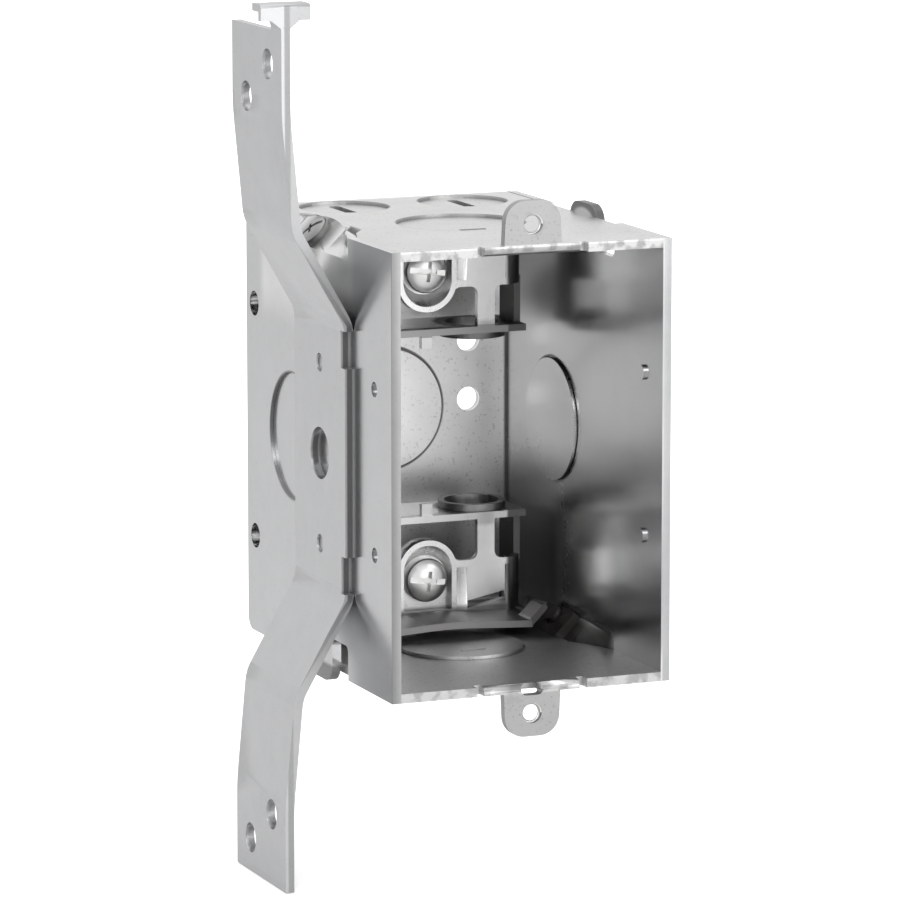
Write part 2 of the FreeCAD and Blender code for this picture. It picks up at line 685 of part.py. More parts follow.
def cable_clamp(name, side):
    body = new_body(name)
    whole = span(side, SADDLE_NEAR, WALL_FAR)
    for hand, place in ((-1, "left"), (1, "right")):
        pad(body, "XY", *whole, lambda s: saddle_section(s, hand, "0", SADDLE_REAR), f"{place}_saddle")
    pad(body, "XZ", f"{CLAMP_WEB} - cup_forward", "cup_forward + clamp_thick",
        lambda s: screw_arch(s, side, "cup_half", "cup_above", WALL_FAR), "screw_cup")
    clamp_flange(body, side)
    hollow = span(side, f"{SADDLE_NEAR} - 1", f"{CLAMP_FAR} + 2 * clamp_thick")
    for hand, place in ((-1, "left"), (1, "right")):
        cut(body, "XY", *hollow,
            lambda s: saddle_section(s, hand, "clamp_thick", f"{SADDLE_REAR} + 1"), f"{place}_hollow")
    screw_dish(body, side)
    hood(body, side)
    cut(body, "XZ", CLAMP_WEB, "2 * clamp_thick",
        lambda s: circle(s, "0", f"{side} * {CLAMP_SCREW_UP}", "clamp_screw_radius + screw_clearance"),
        "clamp_screw_hole")

    def windows(sketch):
        middle_up, rise, slope = f"({CLAMP_FAR} - window_from_far)", "window_high / 2", "window_slope / 2"
        for hand in (-1, 1):
            left = f"{hand} * saddle_across - window_long / 2"
            right = f"{hand} * saddle_across + window_long / 2"
            outline(sketch, [
                (left, f"{side} * ({middle_up} + {rise}) - {slope}"),
                (right, f"{side} * ({middle_up} + {rise}) + {slope}"),
                (right, f"{side} * ({middle_up} - {rise}) + {slope}"),
                (left, f"{side} * ({middle_up} - {rise}) - {slope}")])

    cut(body, "XZ", f"{CLAMP_FRONT} - clamp_thick", "3 * clamp_thick", windows, "saddle_windows")
    return body


def saddle_section(sketch, hand, skin, rear):
    """Plan of one saddle, a flat front between round shoulders, drawn one skin inside it."""
    middle = f"{hand} * saddle_across"
    left, right = f"{middle} - saddle_half + {skin}", f"{middle} + saddle_half - {skin}"
    front, shoulder = f"{CLAMP_FRONT} + {skin}", f"(saddle_shoulder - {skin})"
    outline(sketch, [(left, rear), (left, front, shoulder), (right, front, shoulder), (right, rear)])


def screw_arch(sketch, side, half, above, far):
    """Upright arch round the clamp screw, open towards the flange."""
    top, round_top = f"{side} * ({CLAMP_SCREW_UP} - ({above}))", f"({half}) * 0.99"
    outline(sketch, [(f"-({half})", f"{side} * ({far})"), (f"-({half})", top, round_top),
                     (half, top, round_top), (half, f"{side} * ({far})")])


def screw_dish(body, side):
    """Dish that narrows from the cup's rim to the flat seat of the screw head."""
    wall, far = "0.8 * clamp_thick", f"{CLAMP_FAR} - clamp_thick"
    rim = new_sketch(body, "XZ", f"{CLAMP_WEB} - cup_forward", "dish_rim")
    screw_arch(rim, side, f"cup_half - {wall}", f"cup_above - {wall}", far)
    seat = new_sketch(body, "XZ", CLAMP_WEB, "dish_seat")
    screw_arch(seat, side, "dish_half", "dish_half", far)
    dish = body.newObject("PartDesign::SubtractiveLoft", "screw_dish")
    dish.Profile = rim
    dish.Sections = [seat]
    dish.Ruled = True
    checked(dish)


def clamp_flange(body, side):
    """Springy foot, cranked in the middle, with a turned-up ski tip at each front corner."""
    rear = f"({CLAMP_WEB} + clamp_thick)"

    def foot(half, skin):
        return f"{side} * ({CLAMP_FAR} + flange_drop * {half} / flange_half - {skin})"

    def cranked(sketch, half):
        outline(sketch, [
            (f"-{half}", foot(half, "0")), ("0", foot("0", "0"), "flange_crank"), (half, foot(half, "0")),
            (half, foot(half, "clamp_thick")), ("0", foot("0", "clamp_thick"), "flange_crank"),
            (f"-{half}", foot(half, "clamp_thick"))])

    pad(body, "XZ", f"{CLAMP_WEB} - flange_forward", "flange_forward + clamp_thick",
        lambda s: cranked(s, "flange_half"), "flange")
    pad(body, "XZ", f"{CLAMP_WEB} - wing_forward", "wing_forward + clamp_thick",
        lambda s: cranked(s, "wing_half"), "flange_wings")

    def ski_tip(sketch, hand):
        low, high = foot("flange_half", "0"), foot("flange_half", "clamp_thick")
        slant, round_end = "clamp_thick / sqrt(2)", "clamp_thick * 0.45"
        tip, tip_up = f"{hand} * (flange_half + curl_run)", f"{low} - {side} * curl_run"
        outline(sketch, [
            (f"{hand} * (flange_half - clamp_thick)", low), (f"{hand} * flange_half", low, "curl_round"),
            (tip, tip_up, round_end),
            (f"{tip} - {hand} * {slant}", f"{tip_up} - {side} * {slant}", round_end),
            (f"{hand} * (flange_half - clamp_thick * (sqrt(2) - 1))", high),
            (f"{hand} * (flange_half - clamp_thick)", high)])

    for hand, place in ((-1, "left"), (1, "right")):
        pad(body, "XZ", f"{CLAMP_WEB} - flange_forward + curl_set_back", "curl_wide",
            lambda s: ski_tip(s, hand), f"{place}_ski_tip")


def hood(body, side):
    """Hood over both saddles: its collars take the bushings, a finger in front and a leg at the
    side of each carry it, and a flare joins the cup to the saddles below."""
    hood_half = "(saddle_across + saddle_half)"
    hood_rear = f"{WAY_DEEP} + hood_back"
    pad(body, "XY", *span(side, HOOD_NEAR, HOOD_FAR),
        lambda s: outline(s, [(f"-{hood_half}", CLAMP_FRONT), (hood_half, CLAMP_FRONT),
                              (hood_half, hood_rear, "hood_corner"),
                              (f"-{hood_half}", hood_rear, "hood_corner")]), "hood")
    near, far = f"{side} * {HOOD_NEAR}", f"{side} * {HOOD_FAR}"
    pad(body, "XZ", CLAMP_FRONT, "clamp_thick",
        lambda s: rectangle(s, "-hood_tab_wide / 2", "hood_tab_wide / 2", far,
                            f"{near} - {side} * hood_tab_high"), "hood_tab")
    root = f"{side} * {SADDLE_NEAR}"
    deeper = f"{side} * ({SADDLE_NEAR} + clamp_thick)"
    for hand, place in ((-1, "left"), (1, "right")):
        across = f"{hand} * saddle_across"

        def collar(sketch, radius):
            circle(sketch, across, WAY_DEEP, radius)

        def finger(sketch):
            left, right = f"{across} - finger_width / 2", f"{across} + finger_width / 2"
            outline(sketch, [
                (f"{left} - 2 * finger_root", deeper), (f"{left} - 2 * finger_root", root),
                (left, root, "finger_root"), (left, near), (right, near), (right, root, "finger_root"),
                (f"{right} + 2 * finger_root", root), (f"{right} + 2 * finger_root", deeper)])

        def flare(sketch):
            arch = f"({CLAMP_SCREW_UP} - cup_above + cup_half)"
            start = f"{hand} * cup_half * cos(30)"
            end = f"{hand} * (saddle_across - saddle_half + saddle_shoulder)"
            outline(sketch, [
                (start, f"{side} * ({arch} - cup_half * sin(30))"), (f"{hand} * cup_half", root, "cup_flare"),
                (end, root), (end, deeper), (start, deeper)])

        pad(body, "XY", *span(side, f"{HOOD_NEAR} - collar_high", HOOD_FAR),
            lambda s: collar(s, "collar_radius"), f"{place}_collar")
        cut(body, "XY", *span(side, f"{HOOD_NEAR} - collar_high", HOOD_FAR),
            lambda s: collar(s, "collar_bore"), f"{place}_bushing_way")
        pad(body, "XZ", CLAMP_FRONT, "clamp_thick", finger, f"{place}_finger")
        pad(body, "XZ", CLAMP_FRONT, "clamp_thick", flare, f"{place}_flare")
        leg = f"{hood_half} - clamp_thick" if hand > 0 else f"-{hood_half}"
        pad(body, "YZ", leg, "clamp_thick",
            lambda s: rectangle(s, f"{SADDLE_REAR} - leg_width", SADDLE_REAR, near, deeper), f"{place}_leg")


# Pan-head screws, turned about their own Y with the head's seat at the origin

def pan_screw(name, kind):
    body = new_body(name)
    radius, head, high, long = (f"{kind}_{word}" for word in ("radius", "head", "head_high", "long"))
    profile = new_sketch(body, "XY", "0", f"{name}_profile")
    outline(profile, [
        ("0", f"-{high}"), (f"{head} - screw_head_bevel", f"-{high}"),
        (head, f"-{high} + screw_head_bevel"), (head, "0"), (radius, "0"),
        (radius, f"{long} - screw_tip"), (f"{radius} - screw_tip", long), ("0", long)])
    turned = body.newObject("PartDesign::Revolution", f"{name}_turned")
    turned.Profile = profile
    turned.ReferenceAxis = (profile, ["V_Axis"])
    turned.Angle = 360
    checked(turned)
    slot = "screw_slot_wide / 2"
    cut(body, "XZ", f"-{high} - 1", "screw_slot_deep + 1",
        lambda s: rectangle(s, f"-{head} - 1", f"{head} + 1", f"-{slot}", slot), f"{name}_slot")
    cut(body, "XZ", f"-{high} - 1", "screw_slot_deep + 1",
        lambda s: rectangle(s, f"-{slot}", slot, "-screw_cross_long / 2", "screw_cross_long / 2"),
        f"{name}_cross")
    return body


def clamp_screw(name, side):
    body = pan_screw(name, "clamp_screw")
    body.setExpression("Placement.Base.y", formula(CLAMP_WEB))
    body.setExpression("Placement.Base.z", formula(f"{side} * {CLAMP_SCREW_UP}"))
    return body


def plate_screw(name, side):
    """Stands square on the leaning lobe and screws into the seat flap beneath it."""
    body = pan_screw(name, "plate_screw")
    body.Placement = FreeCAD.Placement(Vector(), FreeCAD.Rotation(Vector(0, 1, 0), Vector(side, 0, -side)))
    step = "plate_screw_reach / sqrt(2)"
    body.setExpression("Placement.Base.x", formula(f"{side} * ({LOBE_X} + {step})"))
    body.setExpression("Placement.Base.y", formula("lobe_middle_deep"))
    body.setExpression("Placement.Base.z", formula(f"{side} * ({LOBE_Z} + {step})"))
    return body


pieces = [
    box_body(),
    side_plate("left_side_plate", half_turn=False),
    side_plate("right_side_plate", half_turn=True),
    stud_bracket(),
    cable_clamp("upper_cable_clamp", 1),
    cable_clamp("lower_cable_clamp", -1),
    clamp_screw("upper_clamp_screw", 1),
    clamp_screw("lower_clamp_screw", -1),
    plate_screw("left_plate_screw", 1),
    plate_screw("right_plate_screw", -1),
]
doc.recompute()

for item in doc.Objects:
    if "Invalid" in item.State or "Error" in item.State:
        raise RuntimeError(f"{item.Name} failed")
for piece in pieces:
    if piece.Shape.isNull() or not piece.Shape.isValid() or len(piece.Shape.Solids) != 1:
        raise RuntimeError(f"{piece.Label} is not one sound solid")

os.makedirs("parts", exist_ok=True)
for piece in pieces:
    piece.Shape.exportStep(f"parts/{piece.Label}.step")
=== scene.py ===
import math

import bpy
from mathutils import Matrix, Vector


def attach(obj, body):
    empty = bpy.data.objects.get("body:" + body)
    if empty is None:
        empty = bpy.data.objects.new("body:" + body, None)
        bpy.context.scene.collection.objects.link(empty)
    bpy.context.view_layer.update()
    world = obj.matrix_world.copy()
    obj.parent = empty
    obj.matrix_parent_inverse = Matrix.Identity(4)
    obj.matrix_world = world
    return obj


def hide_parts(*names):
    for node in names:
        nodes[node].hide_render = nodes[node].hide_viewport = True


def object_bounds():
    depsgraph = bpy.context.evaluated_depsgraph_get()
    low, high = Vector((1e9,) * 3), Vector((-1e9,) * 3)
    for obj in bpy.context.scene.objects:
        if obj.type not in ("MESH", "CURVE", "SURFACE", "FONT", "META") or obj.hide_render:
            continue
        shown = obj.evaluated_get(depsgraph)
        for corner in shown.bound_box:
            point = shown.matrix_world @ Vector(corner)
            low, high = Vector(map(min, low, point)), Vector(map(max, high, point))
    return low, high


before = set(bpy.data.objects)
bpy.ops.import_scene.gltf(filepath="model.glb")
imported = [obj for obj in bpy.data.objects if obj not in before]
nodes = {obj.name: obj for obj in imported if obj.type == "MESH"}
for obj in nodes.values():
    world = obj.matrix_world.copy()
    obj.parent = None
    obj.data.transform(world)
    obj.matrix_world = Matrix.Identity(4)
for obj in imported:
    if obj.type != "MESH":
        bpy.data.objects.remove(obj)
cad_box = [list(corner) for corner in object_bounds()]

# The camera stands where the photograph was taken from: to the left of the opening and a
# little above it, fitted on the box's corners, ears, knockouts and dimples.
image_width = 910
camera_yaw = math.radians(22.187)
camera_pitch = math.radians(9.906)
focal_pixels = 5698.1
camera_distance = 0.95645
camera_right = -0.01305
camera_up = 0.00259
sensor = 36.0

back = Vector((-math.sin(camera_yaw) * math.cos(camera_pitch),
               -math.cos(camera_yaw) * math.cos(camera_pitch), math.sin(camera_pitch)))
right = Vector((-back.y, back.x, 0)).normalized()
up = back.cross(right)
camera_data = bpy.data.cameras.new("camera")
camera_data.sensor_width = sensor
camera_data.lens = sensor * focal_pixels / image_width
camera_data.clip_start = 0.05
camera_data.clip_end = 20
camera = bpy.data.objects.new("camera", camera_data)
bpy.context.collection.objects.link(camera)
axes = Matrix((right, up, back)).transposed()
camera.matrix_world = Matrix.Translation(
    back * camera_distance + right * camera_right + up * camera_up) @ axes.to_4x4()
bpy.context.scene.camera = camera
bpy.context.scene.view_settings.view_transform = "Standard"


# Node maths in plain expressions: a Value wraps one socket, and an operator between values
# adds the Math node that does it, in a material as in a geometry tree.
class Value:
    def __init__(self, tree, socket):
        self.tree = tree
        self.socket = socket

    def node(self, kind, settings=None, out=0, **inputs):
        """A new node; an input is named by its words joined with _, or by i and its number."""
        made = self.tree.nodes.new(kind)
        for name, setting in (settings or {}).items():
            setattr(made, name, setting)
        for name, source in inputs.items():
            key = int(name[1:]) if name[0] == "i" and name[1:].isdigit() else name.replace("_", " ")
            if isinstance(source, Value):
                self.tree.links.new(source.socket, made.inputs[key])
            else:
                made.inputs[key].default_value = source
        return Value(self.tree, made.outputs[out])

    def maths(self, operation, other=0.0, swap=False):
        """This value and the other through a Math node; swap puts the other one first."""
        first, second = (other, self) if swap else (self, other)
        return self.node("ShaderNodeMath", {"operation": operation}, i0=first, i1=second)

    def __add__(self, other):
        return self.maths("ADD", other)

    __radd__ = __add__

    def __sub__(self, other):
        return self.maths("SUBTRACT", other)

    def __rsub__(self, other):
        return self.maths("SUBTRACT", other, swap=True)

    def __mul__(self, other):
        return self.maths("MULTIPLY", other)

    __rmul__ = __mul__

    def __truediv__(self, other):
        return self.maths("DIVIDE", other)

    def __rtruediv__(self, other):
        return self.maths("DIVIDE", other, swap=True)

    def __neg__(self):
        return self * -1

    def __abs__(self):
        return self.maths("ABSOLUTE")

    def __gt__(self, other):
        return self.maths("GREATER_THAN", other)

    def __lt__(self, other):
        return self.maths("LESS_THAN", other)

    def clamp(self, low, high):
        return self.maths("MAXIMUM", low).maths("MINIMUM", high)

    def between(self, low, high):
        """0 below low and 1 above high, with a smooth run between."""
        return self.node("ShaderNodeMapRange", {"interpolation_type": "SMOOTHSTEP"},
                         i0=self, i1=low, i2=high)

    def mix(self, first, second):
        """The colour first where this value is 0, and second where it is 1."""
        return self.node("ShaderNodeMix", {"data_type": "RGBA"}, out=2, i0=self, i6=first, i7=second)

    def parts(self):
        """The three parts of a vector; a place's are metres across, deep and high."""
        split = self.node("ShaderNodeSeparateXYZ", i0=self).socket.node
        return [Value(self.tree, part) for part in split.outputs]


def start_material(name):
    """A new node material, its Principled shader, and its Object coordinates as a Value."""
    material = bpy.data.materials.new(name)
    material.use_nodes = True
    tree = material.node_tree
    shader = tree.nodes["Principled BSDF"]
    place = Value(tree, tree.nodes.new("ShaderNodeTexCoord").outputs["Object"])
    return material, shader, place


def feed(shader, name, value):
    """Links a value to the shader's input of that name."""
    value.tree.links.new(value.socket, shader.inputs[name])


# Pale studio floor, level with the foot of the bracket. Its own glow is for the camera alone:
# it leaves the object its soft shadow and rises to the white of the room further out, while
# the bright metal mirrors the floor as the lamps light it.
floor_gap = 0.0002
floor_level = cad_box[0][2] - floor_gap
floor_span = 6.0
least_glow = 0.5
shadow_core = 0.12
shadow_reach = 0.5

floor_mesh = bpy.data.meshes.new("floor")
floor_mesh.from_pydata([(-floor_span, -floor_span, floor_level), (floor_span, -floor_span, floor_level),
                        (floor_span, floor_span, floor_level), (-floor_span, floor_span, floor_level)],
                       [], [(0, 1, 2, 3)])
floor = bpy.data.objects.new("floor", floor_mesh)
bpy.context.collection.objects.link(floor)
floor_material, floor_shader, floor_place = start_material("pale_floor")
floor_shader.inputs["Base Color"].default_value = (0.9, 0.9, 0.9, 1)
floor_shader.inputs["Roughness"].default_value = 0.9
floor_shader.inputs["Specular IOR Level"].default_value = 0.1
floor_seen = floor_place.node("ShaderNodeLightPath", out="Is Camera Ray")
floor_away = floor_place.node("ShaderNodeVectorMath", {"operation": "LENGTH"}, out=1, i0=floor_place)
floor_glow = least_glow + floor_away.between(shadow_core, shadow_reach) * (1 - least_glow)
feed(floor_shader, "Emission Color", floor_seen * floor_glow)
floor_shader.inputs["Emission Strength"].default_value = 1.0
floor_mesh.materials.append(floor_material)

# The room is a white cyclorama, lit by two softboxes and a fill card. The camera sees it white,
# straight and mirrored in the sheet metal, and as light on the floor it is a little greyer.
room_light = 0.88
lamp_aim = Vector((0, 0.03, 0))

world = bpy.data.worlds.new("studio")
bpy.context.scene.world = world
world.use_nodes = True
sky_tree = world.node_tree
sky = sky_tree.nodes["Background"]
ray = sky_tree.nodes.new("ShaderNodeLightPath").outputs
seen = Value(sky_tree, ray["Is Camera Ray"])
for mirrored in ("Is Glossy Ray", "Is Transmission Ray"):
    seen = seen.maths("MAXIMUM", Value(sky_tree, ray[mirrored]))
sky.inputs["Color"].default_value = (1, 1, 1, 1)
feed(sky, "Strength", seen + (1 - seen) * room_light)


def softbox(name, place, size, power):
    """A square area lamp at place, turned to the box, in metres and watts."""
    lamp = bpy.data.lights.new(name, "AREA")
    lamp.shape = "SQUARE"
    lamp.size = size
    lamp.energy = power
    holder = bpy.data.objects.new(name, lamp)
    holder.location = place
    holder.rotation_euler = (lamp_aim - Vector(place)).to_track_quat("-Z", "Y").to_euler()
    bpy.context.collection.objects.link(holder)


softbox("key_softbox", (-0.9, -1.1, 1.0), size=0.8, power=7.5)
softbox("top_softbox", (0.1, 0.2, 1.3), size=0.9, power=2)
softbox("fill_card", (0.75, -1.55, 0.05), size=1.1, power=10)

# Zinc on cold-rolled sheet: a grey skin with faint spangle, fine specks from handling, drawn
# streaks along the rolling direction, painted shade in the corners, and painted light in places.
shade_and_oil_black = (0.045, 0.043, 0.04, 1)
painted_light_zinc = (0.97, 0.97, 0.96, 1)
dullest_share = 0.55
brightest_share = 1.3
cloud_shade = 0.16
spangle_shade = 0.05
grain_shade = 0.08
cloud_wear = 0.14
grain_wear = 0.04
speck_wear = 0.2
shade_and_oil_wear = 0.25
smoothest = 0.05
roughest = 0.9
touching = 0.000001


def galvanised(name, tone, roughness, speck, grain_axis, grain_height,
               crevice_shade=0.5, soil_and_shade=None, wear=None, painted_light=None):
    """A zinc finish whose skin swings about its tone. Its three mark functions take the place, and
    give how dark oil and painted shade make a spot, what its roughness gains, and how far its
    zinc is painted light. Ambient occlusion paints shade into its crevices as well."""
    material, shader, place = start_material(name)
    stretched = place.node("ShaderNodeMapping", i0=place, Scale=grain_axis)
    grain = place.node("ShaderNodeTexNoise", i0=stretched, Scale=900.0, Detail=3.0)
    cloud = place.node("ShaderNodeTexNoise", i0=place, Scale=60.0, Detail=4.0)
    spangle = place.node("ShaderNodeTexVoronoi", i0=place, Scale=260.0)
    dots = place.node("ShaderNodeTexNoise", i0=place, Scale=1900.0, Detail=1.0)
    specks = dots.between(0.62, 0.74) * speck
    # Painted shade: the skin is darkened where ambient occlusion finds a crevice or a contact between parts.
    crevice = place.node("ShaderNodeAmbientOcclusion", {"samples": 6}, out=1, Distance=0.0045)
    shade_and_oil = (1 - crevice).between(0.45, 1.0) * crevice_shade
    if soil_and_shade:
        shade_and_oil = shade_and_oil.maths("MAXIMUM", soil_and_shade(place))
    shade = (cloud - 0.5) * cloud_shade + (spangle - 0.3) * spangle_shade + (grain - 0.5) * grain_shade
    dull, bright = ([share * part for part in tone] + [1] for share in (dullest_share, brightest_share))
    skin = (shade + 0.5 - specks).clamp(0, 1).mix(dull, bright)
    # Painted light: the marked places are lifted towards bright zinc.
    if painted_light:
        lit = painted_light(place) * (0.9 + (cloud - 0.5) * 1.2)
        skin = (lit.clamp(0, 1) * (1 - specks)).mix(skin, painted_light_zinc)
    shader.inputs["Metallic"].default_value = 1.0
    feed(shader, "Base Color", shade_and_oil.clamp(0, 1).mix(skin, shade_and_oil_black))
    worn = roughness + (cloud - 0.5) * cloud_wear + (grain - 0.5) * grain_wear
    worn = worn + specks * speck_wear + shade_and_oil * shade_and_oil_wear
    if wear:
        worn = worn + wear(place)
    feed(shader, "Roughness", worn.clamp(smoothest, roughest))
    feed(shader, "Normal", place.node("ShaderNodeBump", Strength=0.25, Distance=grain_height,
                                      Height=grain + cloud * 0.6))
    return material


def dress(node, material, burnish=None):
    """Gives a CAD node its finish and joins its loose triangles. Where its edges are rubbed, a
    bevel as wide as burnish rounds them."""
    piece = nodes[node]
    for slot in piece.material_slots:
        slot.material = material
    weld = piece.modifiers.new("joined", "WELD")
    weld.merge_threshold = touching
    if burnish is None:
        return
    bevel = piece.modifiers.new("edge", "BEVEL")
    bevel.width = burnish
    bevel.segments = 2
    bevel.limit_method = "ANGLE"
    bevel.angle_limit = math.radians(35)
    bevel.harden_normals = True


def ring(first, second, radius, wide):
    """1 on a circle about the point where both values are 0, fading to 0 at wide from it."""
    core_share = 0.35
    far = (first * first + second * second).maths("SQRT")
    return 1 - abs(far - radius).between(wide * core_share, wide)


def patch(place, middle, core, reach):
    """1 within core of the middle, fading to 0 at reach."""
    away = place.node("ShaderNodeVectorMath", {"operation": "DISTANCE"}, out=1, i0=place, i1=middle)
    return 1 - away.between(core, reach)


def band(value, low, high, fade):
    """1 while the value lies between low and high, fading over the given run outside."""
    return value.between(low - fade, low) * (1 - value.between(high, high + fade))


def strongest(*marks):
    """The strongest of several marks at each spot. A mark is a mask and its full strength."""
    masks = [mask * strength for mask, strength in marks]
    found = masks[0]
    for mask in masks[1:]:
        found = found.maths("MAXIMUM", mask)
    return found


# Pressed strip that makes the top, back and bottom, with the device ears. Galvanised steel,
# with drawing oil left black along the seams, and shade painted black in the shear crack round
# each knockout and inside the lower tapped seat.
knockout_radius = 0.0112
cable_knockout_radius = 0.0080
cable_knockout_across = 0.0112
cable_knockout_deep = 0.0586
end_knockout_deep = 0.0320
crack = 0.0004
rear_crack = 0.00045
rear_inner_skin = (0.0660, 0.0686)
end_wall_from = 0.0355
bottom_inner_skin = (-0.0368, -0.0345)
top_outer_skin = (0.0379, 0.0381)
ear_root = (0.0378, 0.0384)
front_rim = (0.0001, 0.0004)
seam_across = (0.0230, 0.0236)
seam_deep = (0.0500, 0.0685)
lower_seat_inside = (0.0195, 0.0400, -0.0315)
above_hood = (0.0140, 0.0682, 0.0195)


def strip_soil_and_shade(place):
    """Painted shade and oil on the strip, from the black cracks to the faint grey of the bottom."""
    across, deep, high = place.parts()
    rear = (deep > rear_inner_skin[0]) * ring(across, high, knockout_radius, wide=rear_crack)
    end_wall = abs(high) > end_wall_from
    middle = ring(across, deep - end_knockout_deep, knockout_radius, wide=crack) * end_wall
    cable = ring(abs(across) - cable_knockout_across, deep - cable_knockout_deep,
                 cable_knockout_radius, wide=crack) * end_wall
    seat = patch(place, lower_seat_inside, core=0.007, reach=0.014)
    ears = abs(high).between(*ear_root)
    rim = 1 - deep.between(*front_rim)
    torn = place.node("ShaderNodeTexNoise", i0=place, Scale=420.0, Detail=2.0).between(0.45, 0.62)
    bottom = band(high, *bottom_inner_skin, fade=0.0002)
    shade = patch(place, above_hood, core=0.003, reach=0.007)
    seams = abs(across).between(*seam_across) * band(deep, *seam_deep, fade=0.0004)
    # Painted shade: the knockout cracks, the lower seat, the bottom and the rear wall above the upper hood;
    # oil along the seams.
    return strongest((rear, 0.75), (middle, 0.42), (cable, 0.42), (seat, 0.97), (ears, 0.42),
                     (rim, 0.16 + torn * 0.3), (seams, 0.8), (bottom, 0.14), (shade, 0.5))


def strip_painted_light(place):
    """Painted light: the inner skin of the rear wall, brighter to the left and above, and the top wall."""
    across, deep, high = place.parts()
    rear = band(deep, *rear_inner_skin, fade=0.0002) * high.between(-0.017, -0.007)
    left = 1 - across.between(0.004, 0.022) * 0.45
    top = band(high, *top_outer_skin, fade=0.0002)
    return strongest((rear, left), (top, 0.55))


strip_steel = galvanised("strip_zinc", (0.66, 0.66, 0.66), 0.34, 0.34, (0.25, 1, 1), 0.00003,
                         soil_and_shade=strip_soil_and_shade, painted_light=strip_painted_light)
dress("box_body", strip_steel)

# The two gangable sides are one pressing of the same sheet, smoother outside than inside. Shade
# is painted in the right one behind the lower clamp and round the corner seats, and light and
# the lower clamp's reflection are painted on its inside.
side_knockout_deep = 0.0470
outer_skin = (0.0244, 0.0248)
right_wall = (0.0231, 0.0240)
lower_seat_high = (-0.0345, -0.0325)
lower_seat_deep = (0.0220, 0.0580)
behind_clamp = (0.0238, 0.0610, -0.0260)
beside_clamp_high = (-0.0330, -0.0180)
beside_clamp_deep = (0.0400, 0.0480)
reflected_clamp_spot = (0.0238, 0.0325, -0.0245)
foot_high = (-0.0350, -0.0310)
foot_deep = (0.0180, 0.0300)
left_wall = (-0.026, -0.022)
left_lobe = (-0.0235, 0.0400, 0.0372)
turned_end_deep = (0.0200, 0.0600)
turned_end_high = (0.018, 0.026)
tongue_deep = 0.0340
tongue_level = 0.0372
tongue_curl = 0.0028
tongue_flatness = 0.47
lower_tongue_deep = (0.0262, 0.0420)
lower_tongue_high = (-0.0375, -0.0365)


def plate_painted_shade(place):
    """Painted shade on both plates, and more painted shade on the inside of the right one."""
    across, deep, high = place.parts()
    inside = across.between(0.0100, 0.0140) * (1 - across.between(0.0240, 0.0242))
    cracked = ring(deep - side_knockout_deep, high, knockout_radius, wide=crack)
    upward = high.between(-0.0060, 0.0020)
    seat = (1 - high.between(*lower_seat_high)) * band(deep, *lower_seat_deep, fade=0.003)
    behind = patch(place, behind_clamp, core=0.004, reach=0.027)
    beside = band(high, *beside_clamp_high, fade=0.0045) * deep.between(*beside_clamp_deep)
    lobe = patch(place, left_lobe, core=0.005, reach=0.009)
    left_rim = (1 - across.between(*left_wall)) * (1 - deep.between(*front_rim))
    curl = ring((deep - tongue_deep) * tongue_flatness, high - tongue_level, tongue_curl, wide=0.0012)
    tongue_rim = curl * high.between(0.0374, 0.0378)
    under_tongue = (1 - high.between(*lower_tongue_high)) * band(deep, *lower_tongue_deep, fade=0.001)
    return strongest((cracked, 0.25 + upward * 0.35), (seat * inside, 0.88), (behind * inside, 0.7),
                     (beside * inside, 0.7), (lobe, 0.55), (tongue_rim, 0.75), (under_tongue, 0.6),
                     (left_rim, 0.62))


def inner_wear(place):
    """The plates are a little duller everywhere but on their outer skin."""
    across = place.parts()[0]
    return (1 - abs(across).between(*outer_skin)) * 0.045


def plate_painted_light(place):
    """Painted light on the right plate's inside, above all the lower clamp's painted reflection beside it,
    and on the left one's turned end.
    """
    across, deep, high = place.parts()
    inside = band(across, *right_wall, fade=0.0002)
    above = high.between(-0.018, -0.006)
    reflected_clamp = patch(place, reflected_clamp_spot, core=0.0070, reach=0.0150)
    foot = (1 - high.between(*foot_high)) * (1 - deep.between(*foot_deep))
    left = 1 - across.between(-0.0235, -0.0150)
    turned = left * band(deep, *turned_end_deep, fade=0.004) * high.between(*turned_end_high)
    return strongest((above * inside, 0.2), (reflected_clamp * inside, 0.9), (foot * inside, 0.5), (turned, 0.45))


plate_steel = galvanised("plate_zinc", (0.530, 0.535, 0.540), 0.18, 0.12, (1, 1, 0.6), 0.000001,
                         crevice_shade=0.22, soil_and_shade=plate_painted_shade, wear=inner_wear, painted_light=plate_painted_light)
dress("left_side_plate", plate_steel)
dress("right_side_plate", plate_steel)

# Stud bracket: a bowed strap spot-welded to the left side, rolled along its length. Its edges
# are sheared: burnished beside the outer skin, and torn dark beside the inner one, with shade
# painted darker still on the edge of the flat run, where it lies on the plate.
strap_outer_skin = 0.0270
strap_flat_half = 0.0235
strap_knee_half = 0.0398
strap_knee_out = 0.0109
strap_burnish = 0.0003
torn_from = (0.0002, 0.0005)
torn_until = (0.0012, 0.0015)


def torn_edge_and_shade(place):
    """Dark on faces that look along Y, from just under the strap's outer skin inward."""
    across, _, high = place.parts()
    facing = place.node("ShaderNodeTexCoord", out="Normal").parts()[1]
    edge_on = abs(facing).between(0.7, 0.9)
    rise = abs(high) - strap_flat_half
    slope = (rise / (strap_knee_half - strap_flat_half)).clamp(0, 1)
    under = across + strap_outer_skin + slope * strap_knee_out
    torn = under.between(*torn_from) * (1 - under.between(*torn_until) * 0.55)
    # Painted shade: the flat run's edge is darker than the slopes'.
    flat = 1 - rise.between(-0.001, 0.003)
    return edge_on * torn * (0.38 + flat * 0.37)


strap_steel = galvanised("strap_zinc", (0.545, 0.55, 0.555), 0.38, 0.08, (1, 1, 0.2), 0.00002,
                         soil_and_shade=torn_edge_and_shade)
dress("stud_bracket", strap_steel, strap_burnish)

